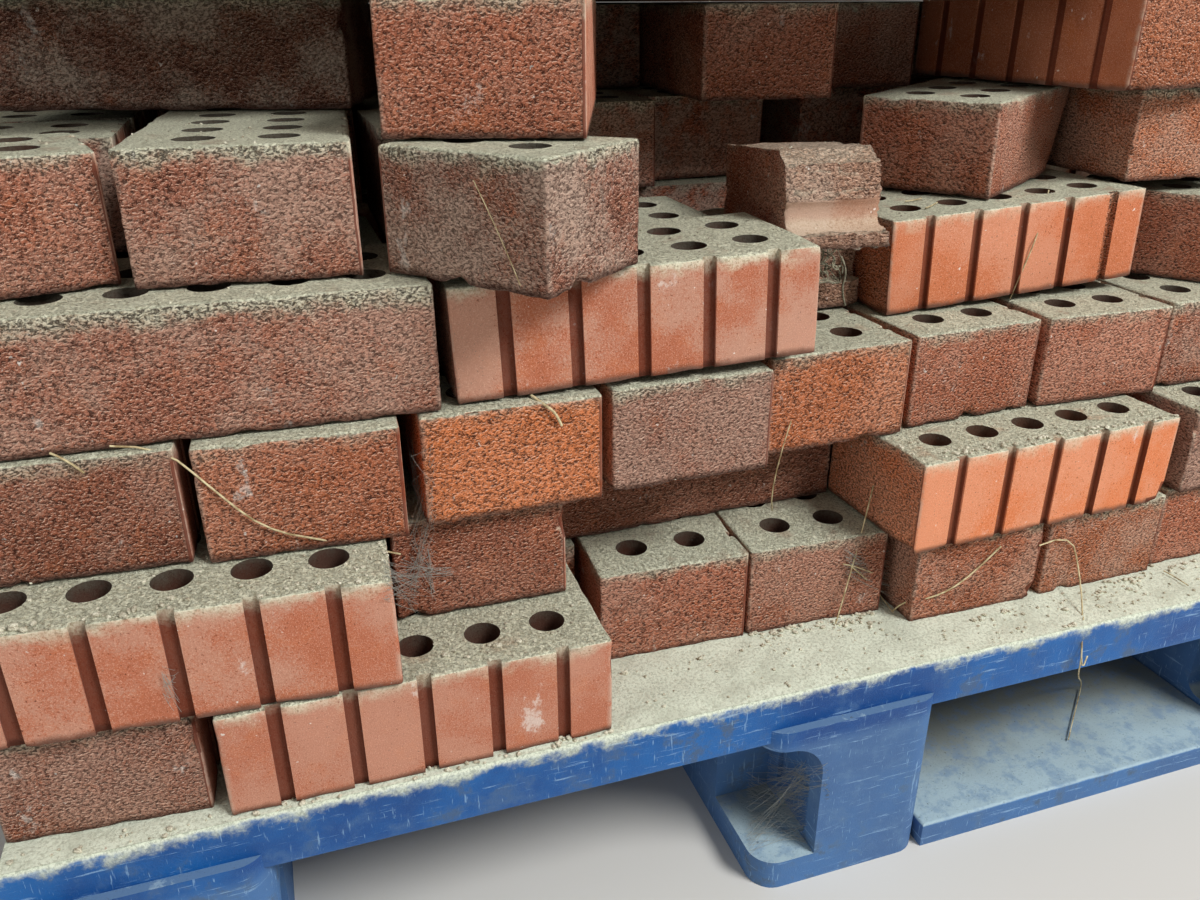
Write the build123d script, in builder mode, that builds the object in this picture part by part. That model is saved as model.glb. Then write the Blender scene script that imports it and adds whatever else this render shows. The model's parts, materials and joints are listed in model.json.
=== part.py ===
from build123d import *
import os
import random
from dataclasses import dataclass
from math import cos, radians, sin, sqrt, tan

# A loose stack of perforated facing bricks on a moulded plastic pallet.
# Millimetres. +Z is up, the front of the pallet faces -Y, and the origin is on the ground
# under the middle of the load.

# The brick
brick_length = 215.0
brick_width = 102.5
brick_height = 65.0
tall_brick_height = 69.0
arris_radius = 2.0

# Its perforations, five along by two across
hole_diameter = 21.0
hole_pitch_along = 38.5
hole_pitch_across = 41.0
holes_along = 5
holes_across = 2

# The grooves in one long face
groove_count = 5
groove_pitch = 39.0
groove_width = 7.8
groove_depth = 3.6

# The pallet
pallet_width = 1000.0
pallet_length = 1200.0
pallet_height = 160.0
deck_thickness = 8.0
skirt_height = 36.0
skirt_wall = 6.0
skirt_setback = 6.0
deck_edge_radius = 4.0
rib_wall = 5.0
ribs_across = 10
ribs_along = 12

outer_leg_width = 135.0
middle_leg_width = 130.0
outer_leg_length = 150.0
middle_leg_length = 160.0
leg_corner_radius = 18.0
leg_ledge_drop = 26.0
foot_thickness = 4.0
window_width = 42.0
window_height = 66.0
window_depth = 46.0
window_corner = 12.0
window_edge = 14.0
torn_width = 42.0
torn_height = 96.0
torn_depth = 70.0
torn_corner = 26.0

board_thickness = 19.0
board_width = 128.0
board_gap = 0.6
board_edge_radius = 2.5

# Broken ends: how far back a bat's fracture runs, as shares of its depth, and where across
ragged_depth = 4.1
ragged_end = ((0.0, 0.0), (1.0, 0.2), (0.2, 0.45), (1.6, 0.7), (0.6, 1.0))

# The piece that is split through its perforations, in section from its front face
split_height = 58.0
split_depth = 125.0
split_lip = 11.0
split_ledge = 8.0
split_brow = 6.5
split_lean = 22.0
split_ridge = 36.0
split_drop = 8.0

# The piece that has lost the top of its front, in section too
stepped_length = 84.0
stepped_height = 56.0
step_height = 20.0
step_depth = 10.0

# How the bricks are laid
bed_joint = 0.9
deck_seat = 0.3
cross_joint = 6.0
stack_inset = 10.0
second_row_setback = 312.0
upper_inner_setback = second_row_setback + brick_length + cross_joint
lay_slack = 1.0
lay_slack_deep = 2.0
lay_slack_outer = 6.0
lay_turn = 0.5
core_gap = 6.0

courses = 7
header_columns = 9
header_rows = 4
upper_header_rows = 3
top_setback = 160.0

deck_top = pallet_height
front_edge = -pallet_length / 2
left_edge = -pallet_width / 2
random.seed(20)


@dataclass
class Lay:
    """One brick by the front left corner of its bed face, in the order that it is laid.

    step is the gap from the brick on its left, and setback is how far it stands behind the
    pallet's front edge. A header runs away from the viewer, and its grooves face left or right.
    The slant is how much shorter a bat is along its bed than along its top.
    """

    step: float
    setback: float
    yaw: float = 0.0
    header: bool = True
    grooves: str = "right"
    length: float = brick_length
    width: float = brick_width
    height: float = brick_height
    rise: float = 0.0
    shape: str = "brick"
    slant: float = 0.0


# The front bricks, from left to right, course by course from the deck up
front_courses = {
    1: [
        Lay(8, 27, -4.0),
        Lay(9, 10, 0.0, header=False, grooves="front"),
        Lay(14, 75, -2.0),
        Lay(2, 72, -2.0),
        Lay(11, 48, -0.5),
        Lay(6.5, 48, 0.5),
        Lay(6.5, 55, -0.5),
        Lay(4, 49, 0.0),
    ],
    2: [
        Lay(1, 18, -3.0, header=False, grooves="front"),
        Lay(5.6, 66, -0.3),
        Lay(5.4, 125, 2.0, header=False, grooves="back"),
        Lay(6, 34, 2.5, header=False, grooves="front"),
        Lay(21, 47, 1.0),
        Lay(4, 44, -0.5),
    ],
    3: [
        Lay(18, 60, -3.0),
        Lay(7.5, 51, -2.5),
        Lay(11, 54, 0.4),
        Lay(7.5, 60, 0.5),
        Lay(7.5, 77, 2.5),
        Lay(7.5, 86, 3.0),
        Lay(6.5, 90, -2.5),
        Lay(8, 92, -0.5),
        Lay(3, 80, 0.0),
    ],
    4: [
        Lay(40, 62, -1.0, header=False, grooves="back", height=tall_brick_height),
        Lay(9, 63, -1.2, header=False, grooves="front", rise=1.9),
        Lay(7, 157, 0.0, header=False, length=stepped_length, height=stepped_height, shape="stepped"),
        Lay(4.9, 130, 1.4, header=False, grooves="front", rise=2.3),
        Lay(2, 212, -55.0, header=False, grooves="back"),
    ],
    5: [
        Lay(8, 79, 14.0, length=92),
        Lay(6.5, 90, -4.6, width=110, height=67),
        Lay(77.4, 5, 39.4, header=False, grooves="back", length=85),
        Lay(115.1, 100, -5.0, False, "back", brick_height, split_depth, split_height, shape="split"),
        Lay(116.4, 152, 31.0, header=False, grooves="back", length=146, rise=2.0, slant=33),
        Lay(-4.0, 154, -4.0, length=150),
        Lay(11.0, 150, 0.0),
    ],
    6: [
        Lay(32, 290, -15.4, header=False, grooves="back"),
        Lay(-0.3, 88, -19.5),
        Lay(150.9, 256, -3.6),
        Lay(14, 325, -3.0, length=180),
        Lay(37, 127, 5.6, grooves="left"),
        Lay(12, 140, -2.0),
    ],
}

# Bricks that fill the second row, seen through the gaps between the front ones
filler_courses = {
    1: [Lay(131, 120, 0.0, header=False, grooves="back")],
    2: [
        Lay(0, 134, -1.0, header=False, grooves="back"),
        Lay(341, 160, 1.0, header=False, grooves="back"),
    ],
    4: [
        Lay(30, 169, 0.0, header=False, grooves="back"),
        Lay(7, 169, 0.0, header=False, grooves="back"),
    ],
    5: [
        Lay(2, 198, 0.0, length=103),
        Lay(139.5, 157, 0.0, length=112),
        Lay(-343.0, 307, 0.0),
        Lay(38.3, 306, 0.5),
        Lay(11.7, 309, 0.0),
        Lay(7, 302, -0.5),
        Lay(3.5, 330, 0.0, length=200),
        Lay(43.5, 350, 0.0, length=180),
        Lay(57.7, 378, 0.0, header=False, grooves="back"),
    ],
    6: [
        Lay(55, 398, 0.0, header=False, grooves="back"),
        Lay(8, 396, 0.0, header=False, grooves="back"),
        Lay(236, 397, 0.0, header=False, grooves="back"),
    ],
}

# The last row of the top course, along the back edge
top_back_row = [
    Lay(14, 1051, 0.4, header=False, grooves="back"),
    Lay(9, 1053, -0.3, header=False, grooves="back"),
    Lay(52, 1050, 0.2, header=False, grooves="back"),
    Lay(8, 1052, -0.4, header=False, grooves="back"),
]

bricks = {}


def brick_profile(length, width):
    """The plan of a brick of this size, with a ragged end where it is a broken one."""
    depth = ragged_depth if length < brick_length else 0.0
    broken = [(length - depth * back, width * across) for back, across in ragged_end]
    end = broken if depth else [(length, 0), (length, width)]
    with BuildSketch() as plan:
        with BuildLine():
            Polyline((0, 0), *end, (0, width), close=True)
        make_face()
    return plan.sketch


def split_piece():
    """A piece on its side, broken open through a row of its perforations."""
    radius = hole_diameter / 2
    channel = split_lip + radius
    shoulder = split_ledge + sqrt(radius**2 - split_brow**2)
    with BuildPart() as body:
        with BuildSketch(Plane.YZ):
            with BuildLine():
                Polyline(
                    (0, 0),
                    (0, split_lip),
                    (split_ledge, split_lip),
                    (shoulder, channel + split_brow),
                    (split_lean, split_height - split_drop),
                    (split_ridge, split_height),
                    (split_depth, split_height - split_drop),
                    (split_depth, 0),
                    close=True,
                )
            make_face()
            with Locations((split_ledge, channel)):
                Circle(radius, mode=Mode.SUBTRACT)
        extrude(amount=brick_height)
    return body.part


def stepped_piece():
    """A piece whose front is broken down to a low step."""
    with BuildPart() as body:
        with BuildSketch(Plane.YZ):
            with BuildLine():
                Polyline(
                    (0, 0),
                    (0, step_height),
                    (step_depth, step_height),
                    (step_depth, stepped_height),
                    (brick_width, stepped_height),
                    (brick_width, 0),
                    close=True,
                )
            make_face()
        extrude(amount=stepped_length)
    return body.part


def brick(length, width, height, slant):
    """A brick on its bed, its grooved face along -Y and its front left corner at the origin."""
    if (length, width, height, slant) in bricks:
        return bricks[length, width, height, slant]
    whole = length >= brick_length
    first_hole = brick_length / 2 - hole_pitch_along * (holes_along - 1) / 2
    first_row = width / 2 - hole_pitch_across * (holes_across - 1) / 2
    first_groove = brick_length / 2 - groove_pitch * (groove_count - 1) / 2
    with BuildPart() as body:
        with BuildSketch():
            add(brick_profile(length, width))
            along = [first_hole + hole_pitch_along * i for i in range(holes_along)]
            across = [first_row + hole_pitch_across * i for i in range(holes_across)]
            kept = [x for x in along if whole or x + hole_diameter < length]
            with Locations(*[(x, y) for x in kept for y in across]):
                Circle(hole_diameter / 2, mode=Mode.SUBTRACT)
            grooves = [first_groove + groove_pitch * i for i in range(groove_count)]
            kept = [x for x in grooves if whole or x + groove_width < length]
            with Locations(*[(x, groove_depth / 2) for x in kept]):
                Rectangle(groove_width, groove_depth, mode=Mode.SUBTRACT)
        extrude(amount=height)
        if slant:
            with BuildSketch(Plane.XZ):
                with BuildLine():
                    Polyline((length, 0), (length, height), (length - slant, height), close=True)
                make_face()
            extrude(amount=-width, mode=Mode.SUBTRACT)
        arrises = body.edges().filter_by(Axis.Z).filter_by(GeomType.LINE)
        corners = arrises.filter_by(lambda edge: is_corner(edge, length, width))
        fillet(corners, radius=arris_radius)
    bricks[length, width, height, slant] = body.part
    return body.part


def is_corner(edge, length, width):
    """Whether a vertical edge is one of the square outer corners of the plan."""
    at = edge.center()
    left = at.X < arris_radius
    right = length >= brick_length and at.X > length - arris_radius
    outside = min(at.Y, width - at.Y) < arris_radius / 2
    return (left or right) and outside


def footprint(lay, x, y):
    """The four plan corners of a laid brick."""
    along, deep = (lay.width, lay.length) if lay.header else (lay.length, lay.width)
    turn = radians(lay.yaw)
    run, back = (cos(turn), sin(turn)), (-sin(turn), cos(turn))
    return [
        (x + along * i * run[0] + deep * j * back[0], y + along * i * run[1] + deep * j * back[1])
        for i, j in ((0, 0), (1, 0), (1, 1), (0, 1))
    ]


def apart(first, second):
    """Whether two four-sided plans are clear of each other, by their separating sides."""
    for shape in (first, second):
        for (ax, ay), (bx, by) in zip(shape, shape[1:] + shape[:1]):
            normal = (by - ay, ax - bx)
            spans = [[p[0] * normal[0] + p[1] * normal[1] for p in plan] for plan in (first, second)]
            if max(spans[0]) <= min(spans[1]) or max(spans[1]) <= min(spans[0]):
                return True
    return False


def climb(point, corner, slope):
    """How far a sloping brick has risen at a point, from its front left corner."""
    return (point[0] - corner[0]) * slope[0] + (point[1] - corner[1]) * slope[1]


class Stack:
    """Keeps what is laid so far, so that each new brick comes to rest on what is under it."""

    def __init__(self):
        self.laid = []

    def bed(self, plan, corner, slope):
        """The height at which the front left corner of a brick of this plan and slope rests."""
        height = deck_top + deck_seat
        for lower, top, foot, lean in self.laid:
            if apart(plan, lower):
                continue
            rises = [min(max(climb(p, foot, lean), 0), lean[2]) - climb(p, corner, slope) for p in plan]
            height = max(height, top + max(rises) + bed_joint)
        return height

    def lay(self, lay, x, y):
        """Lays one brick and gives it back as a placed solid."""
        plan = footprint(lay, x, y)
        turn, lift = radians(lay.yaw), tan(radians(lay.rise))
        slope = (lift * cos(turn), lift * sin(turn), lift * lay.length)
        z = self.bed(plan, (x, y), slope)
        self.laid.append((plan, z + lay.height, (x, y), slope))
        place = Location((x, y, z), (0, 0, lay.yaw)) * Location((0, 0, 0), (0, -lay.rise, 0))
        if lay.shape == "split":
            return split_piece().moved(place)
        if lay.shape == "stepped":
            return stepped_piece().moved(place)
        if lay.header and lay.grooves == "left":
            turned = Location((0, lay.length, 0), (0, 0, -90))
        elif lay.header:
            turned = Location((lay.width, 0, 0), (0, 0, 90))
        elif lay.grooves == "back" and lay.length < brick_length:
            turned = Location((0, lay.width, lay.height), (180, 0, 0))
        elif lay.grooves == "back":
            turned = Location((lay.length, lay.width, 0), (0, 0, 180))
        else:
            turned = Location()
        return brick(lay.length, lay.width, lay.height, lay.slant).moved(place * turned)

    def row(self, lays):
        """Lays a row from the pallet's left edge, each brick a step on from the one before."""
        x = left_edge
        placed = []
        for lay in lays:
            x += lay.step
            placed.append(self.lay(lay, x, front_edge + lay.setback))
            x += (lay.width if lay.header else lay.length) * cos(radians(lay.yaw))
        return placed


def slack(amount):
    return random.uniform(-amount, amount)


def in_core(x, y, along, deep):
    """Whether a regular brick stands where the plain core is."""
    inside_x = x + along > core_left - core_gap and x < core_right + core_gap
    return inside_x and y + deep > core_front - core_gap and y < core_back + core_gap


def header_field(stack, first_y, rows, hollow):
    """Rows of headers over the width of the stack, left out where the core is."""
    placed = []
    span = pallet_width - 2 * stack_inset
    pitch_x = (span - brick_width) / (header_columns - 1)
    for row in range(rows):
        for column in range(header_columns):
            x = left_edge + stack_inset + column * pitch_x
            y = first_y + row * (brick_length + cross_joint)
            if hollow and in_core(x, y, brick_width, brick_length):
                continue
            outer = (column == header_columns - 1) - (column == 0)
            last = row == rows - 1
            lay = Lay(0, 0, slack(lay_turn), grooves=random.choice(("left", "right")))
            dx = slack(lay_slack) + outer * random.uniform(0, lay_slack_outer)
            dy = slack(lay_slack_deep) + last * random.uniform(0, lay_slack_outer)
            placed.append(stack.lay(lay, x + dx, y + dy))
    return placed


def stretcher_field(stack, first_y, rows):
    """Rows of stretchers with a column of headers up the middle, left out where the core is."""
    placed = []
    pitch_y = (brick_length + cross_joint) / 2
    side = left_edge + stack_inset
    joint = (pallet_width - 2 * stack_inset - 4 * brick_length - brick_width) / 4
    step = brick_length + joint
    starts = [side, side + step, -side - step - brick_length, -side - brick_length]
    for row in range(rows):
        y = first_y + row * pitch_y
        last = row == rows - 1
        for column, x in enumerate(starts):
            if in_core(x, y, brick_length, brick_width):
                continue
            outer = (column == len(starts) - 1) - (column == 0)
            facing = random.choice(("back", "front")) if last else "front"
            lay = Lay(0, 0, slack(lay_turn), header=False, grooves=facing)
            dx = slack(lay_slack) + outer * random.uniform(0, lay_slack_outer)
            dy = slack(lay_slack_deep) + last * random.uniform(0, lay_slack_outer)
            placed.append(stack.lay(lay, x + dx, y + dy))
        if row % 2 == 0 and not in_core(-brick_width / 2, y, brick_width, brick_length):
            lay = Lay(0, 0, slack(lay_turn / 2))
            placed.append(stack.lay(lay, -brick_width / 2, y + slack(lay_slack_deep)))
    return placed


# The pallet's legs: where each stands and how big it is
leg_columns = [
    (left_edge + outer_leg_width / 2, outer_leg_width),
    (0.0, middle_leg_width),
    (-left_edge - outer_leg_width / 2, outer_leg_width),
]
leg_rows = [
    (front_edge + outer_leg_length / 2, outer_leg_length),
    (0.0, middle_leg_length),
    (-front_edge - outer_leg_length / 2, outer_leg_length),
]
skirt_bottom = pallet_height - skirt_height


def board_line(leg_y):
    """Where a board that runs across the pallet lies, flush with the outer face of its legs."""
    if leg_y == 0:
        return 0.0
    side = 1 if leg_y > 0 else -1
    return side * (pallet_length / 2 - board_width / 2)


with BuildPart() as pallet_deck:
    # top plate with a rounded edge, and the skirt that hangs from it
    with BuildSketch(Plane.XY.offset(skirt_bottom)):
        Rectangle(pallet_width - 2 * skirt_setback, pallet_length - 2 * skirt_setback)
    extrude(amount=skirt_height)
    top_rim = pallet_deck.edges().group_by(Axis.Z)[-1]
    fillet(top_rim, radius=deck_edge_radius)
    with BuildSketch(Plane.XY.offset(skirt_bottom)):
        inset = 2 * (skirt_setback + skirt_wall)
        Rectangle(pallet_width - inset, pallet_length - inset)
    extrude(amount=skirt_height - deck_thickness, mode=Mode.SUBTRACT)
    # stiffening ribs under the plate
    with BuildSketch(Plane.XY.offset(skirt_bottom)):
        rib_span_x = pallet_width - 2 * (skirt_setback + skirt_wall)
        rib_span_y = pallet_length - 2 * (skirt_setback + skirt_wall)
        with GridLocations(rib_span_x / (ribs_across + 1), 0, ribs_across, 1):
            Rectangle(rib_wall, rib_span_y)
        with GridLocations(0, rib_span_y / (ribs_along + 1), 1, ribs_along):
            Rectangle(rib_span_x, rib_wall)
    extrude(amount=skirt_height - deck_thickness / 2)
    # legs, each proud of the skirt by its setback below a small ledge
    for leg_x, leg_width in leg_columns:
        for leg_y, leg_length in leg_rows:
            with BuildSketch(Plane((leg_x, leg_y, 0))):
                RectangleRounded(leg_width, leg_length, leg_corner_radius)
            extrude(amount=pallet_height - leg_ledge_drop)
    # windows in the sides of the legs
    window_low = board_thickness + foot_thickness
    window_middle = window_low + window_height / 2
    for leg_x, leg_width in leg_columns:
        for leg_y, leg_length in leg_rows:
            for side in (-1, 1):
                face_x = leg_x + side * leg_width / 2
                face = Plane((face_x, leg_y, window_middle), x_dir=(0, 1, 0), z_dir=(side, 0, 0))
                edge_inset = leg_length / 2 - window_edge - window_width / 2
                if leg_length == outer_leg_length:
                    edge_inset = edge_inset if leg_y > 0 else -edge_inset
                with BuildSketch(face):
                    with Locations((edge_inset, 0)):
                        RectangleRounded(window_width, window_height, window_corner)
                extrude(amount=-window_depth, mode=Mode.SUBTRACT)
    # the torn corner of the middle front leg, open above its foot
    torn_left = -middle_leg_width / 2
    torn_plane = Plane((torn_left, front_edge, window_low), x_dir=(1, 0, 0), z_dir=(0, -1, 0))
    curve_start = (torn_width, torn_height - torn_corner)
    curve_end = (torn_width - torn_corner, torn_height)
    with BuildSketch(torn_plane):
        with BuildLine():
            Polyline((0, torn_height), (0, 0), (torn_width, 0), curve_start)
            RadiusArc(curve_start, curve_end, -torn_corner)
            Line(curve_end, (0, torn_height))
        make_face()
    extrude(amount=-torn_depth, mode=Mode.SUBTRACT)

board_spans_x = [
    (leg_columns[i][0] + leg_columns[i][1] / 2, leg_columns[i + 1][0] - leg_columns[i + 1][1] / 2)
    for i in (0, 1)
]
board_spans_y = [
    (leg_rows[i][0] + leg_rows[i][1] / 2, leg_rows[i + 1][0] - leg_rows[i + 1][1] / 2)
    for i in (0, 1)
]

with BuildPart() as pallet_base:
    # boards from leg to leg, all but the front left one, which is broken away
    with BuildSketch():
        for leg_y, leg_length in leg_rows:
            for low, high in board_spans_x:
                lost = leg_y < 0 and leg_length == outer_leg_length and low < 0
                if not lost:
                    with Locations(((low + high) / 2, board_line(leg_y))):
                        Rectangle(high - low - 2 * board_gap, board_width)
        for leg_x, leg_width in leg_columns:
            for low, high in board_spans_y:
                with Locations((leg_x, (low + high) / 2)):
                    Rectangle(board_width, high - low - 2 * board_gap)
    extrude(amount=board_thickness)
    top_edges = pallet_base.edges().group_by(Axis.Z)[-1]
    fillet(top_edges, radius=board_edge_radius)

# The hidden middle of the stack, as one plain block
core_left = left_edge + stack_inset + brick_length + core_gap
core_right = -core_left
core_front = front_edge + upper_inner_setback + core_gap
core_back = front_edge + second_row_setback + 3 * (brick_length + cross_joint) - core_gap
course_pitch = brick_height + bed_joint
core_height = (courses - 1) * course_pitch - bed_joint

with BuildPart() as stack_core:
    with BuildSketch(Plane.XY.offset(deck_top + deck_seat)):
        with Locations(((core_left + core_right) / 2, (core_front + core_back) / 2)):
            Rectangle(core_right - core_left, core_back - core_front)
    extrude(amount=core_height)

stack = Stack()
core_plan = [
    (core_left, core_front),
    (core_right, core_front),
    (core_right, core_back),
    (core_left, core_back),
]
core_entry = (core_plan, deck_top + deck_seat + core_height, (core_left, core_front), (0, 0, 0))

pieces = {}
for course in range(1, courses):
    upper = course >= courses - 2
    front = stack.row(front_courses[course])
    fillers = stack.row(filler_courses.get(course, []))
    inner_y = front_edge + (upper_inner_setback if upper else second_row_setback)
    if course % 2:
        inner = header_field(stack, inner_y, upper_header_rows if upper else header_rows, True)
    else:
        inner = stretcher_field(stack, inner_y, 2 * (upper_header_rows if upper else header_rows))
    pieces[f"course_{course}_front"] = front
    pieces[f"course_{course}_inner"] = fillers + inner
stack.laid.append(core_entry)
top_field = header_field(stack, front_edge + top_setback, header_rows, False)
pieces["course_7_top"] = top_field + stack.row(top_back_row)

os.makedirs("parts", exist_ok=True)
pallet_deck.part.label = "pallet_deck"
export_step(pallet_deck.part, "parts/pallet_deck.step")
pallet_base.part.label = "pallet_base"
export_step(pallet_base.part, "parts/pallet_base.step")
stack_core.part.label = "stack_core"
export_step(stack_core.part, "parts/stack_core.step")
for name, solids in pieces.items():
    course_bricks = Compound(children=solids)
    course_bricks.label = name
    export_step(course_bricks, f"parts/{name}.step")
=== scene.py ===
"""Dresses a loose stack of perforated facing bricks on a worn moulded plastic pallet."""

import json
import logging
import math
import random
from dataclasses import dataclass, field
from enum import IntEnum

import bmesh
import bpy
from mathutils import Matrix, Vector, noise
from mathutils.bvhtree import BVHTree

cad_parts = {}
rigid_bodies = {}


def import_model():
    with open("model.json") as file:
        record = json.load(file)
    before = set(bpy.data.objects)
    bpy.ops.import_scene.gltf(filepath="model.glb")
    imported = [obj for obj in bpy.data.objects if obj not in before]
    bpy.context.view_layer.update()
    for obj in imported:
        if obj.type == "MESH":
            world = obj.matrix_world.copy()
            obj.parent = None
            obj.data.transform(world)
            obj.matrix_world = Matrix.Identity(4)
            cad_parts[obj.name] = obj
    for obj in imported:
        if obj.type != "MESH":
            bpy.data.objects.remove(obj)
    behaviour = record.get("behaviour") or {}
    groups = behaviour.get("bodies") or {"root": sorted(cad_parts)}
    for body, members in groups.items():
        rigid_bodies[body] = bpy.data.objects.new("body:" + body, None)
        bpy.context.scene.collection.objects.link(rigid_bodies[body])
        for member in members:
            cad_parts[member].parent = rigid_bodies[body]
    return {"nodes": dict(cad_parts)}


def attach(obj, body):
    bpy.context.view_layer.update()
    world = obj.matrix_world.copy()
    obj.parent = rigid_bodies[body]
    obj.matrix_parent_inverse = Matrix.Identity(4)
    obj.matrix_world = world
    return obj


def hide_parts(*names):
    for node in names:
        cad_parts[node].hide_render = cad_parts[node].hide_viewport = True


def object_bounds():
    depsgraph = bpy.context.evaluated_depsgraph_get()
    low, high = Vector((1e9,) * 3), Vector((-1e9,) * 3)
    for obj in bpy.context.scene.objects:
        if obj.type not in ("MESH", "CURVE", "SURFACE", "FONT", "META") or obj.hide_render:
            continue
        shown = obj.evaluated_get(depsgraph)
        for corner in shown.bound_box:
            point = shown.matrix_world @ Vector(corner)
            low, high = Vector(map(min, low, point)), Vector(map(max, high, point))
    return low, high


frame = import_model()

log = logging.getLogger("brick_pallet")
CAD_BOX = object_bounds()
MM = 0.001

Socket = bpy.types.NodeSocket
Solid = bmesh.types.BMesh
Face = bmesh.types.BMFace
Piece = bpy.types.Object


def srgb(red: float, green: float, blue: float) -> tuple[float, float, float, float]:
    """Turns a colour of 0 to 255 as it shows on a screen into a linear one.

    Args:
        red, green, blue: The screen values.

    Returns:
        The linear colour with an alpha of one.
    """
    def linear(value: float) -> float:
        """Undoes the screen's curve for one channel."""
        share = value / 255
        return share / 12.92 if share <= 0.04045 else ((share + 0.055) / 1.055) ** 2.4

    return linear(red), linear(green), linear(blue), 1.0


class Grade(IntEnum):
    """What a face of a brick is, which decides how it is cut up, worn and coloured."""

    TEXTURED = 0
    SMOOTH = 1
    TOP = 2
    BOTTOM = 3
    HOLE = 4
    BROKEN = 5


@dataclass(frozen=True)
class Character:
    """How one brick differs from the next.

    tone is its brightness, warmth runs from plum brown to orange, film is how much dust clings
    to its upright faces, and settled is how much lies on its level ones, all from 0 to 1.
    """

    tone: float
    warmth: float
    film: float
    settled: float = 1.0


# The bricks that stand out, by course and by place from the left in its front row
CHARACTERS = {
    (1, 0): Character(0.35, 0.25, 0.45),
    (1, 1): Character(0.62, 0.35, 0.35),
    (1, 2): Character(0.50, 0.40, 0.40),
    (1, 3): Character(0.42, 0.35, 0.35),
    (2, 0): Character(0.58, 0.45, 0.45),
    # (2, 1) is darker partly in its own colour and partly as painted shade, as it lies in shadow
    (2, 1): Character(0.25, 0.45, 0.15),
    (2, 2): Character(0.15, 0.35, 0.15),
    (2, 3): Character(0.80, 0.85, 0.30),
    (3, 0): Character(0.22, 0.35, 0.30),
    (3, 1): Character(0.40, 0.70, 0.20),
    (3, 2): Character(0.68, 1.00, 0.10),
    (3, 3): Character(0.60, 0.05, 0.45),
    (3, 4): Character(0.50, 0.85, 0.25),
    (3, 5): Character(0.50, 0.45, 0.30),
    (4, 0): Character(0.62, 0.20, 0.50),
    (4, 1): Character(0.48, 0.50, 0.55),
    (4, 2): Character(0.25, 0.40, 0.40, 0.50),
    (4, 3): Character(0.66, 0.75, 0.30),
    (5, 0): Character(0.50, 0.35, 0.35),
    (5, 1): Character(0.62, 0.20, 0.60),
    (5, 2): Character(0.34, 0.15, 0.85),
    (5, 3): Character(0.32, 0.40, 0.60, 0.25),
    (5, 4): Character(0.45, 0.45, 0.35),
    (6, 0): Character(0.16, 0.05, 1.25),
    (6, 1): Character(0.55, 0.40, 0.30),
    (6, 4): Character(0.22, 0.75, 0.10),
}


# The pieces that are not whole bricks or bats, by course and place
BROKEN_PIECES = {(4, 2), (5, 3)}


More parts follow.
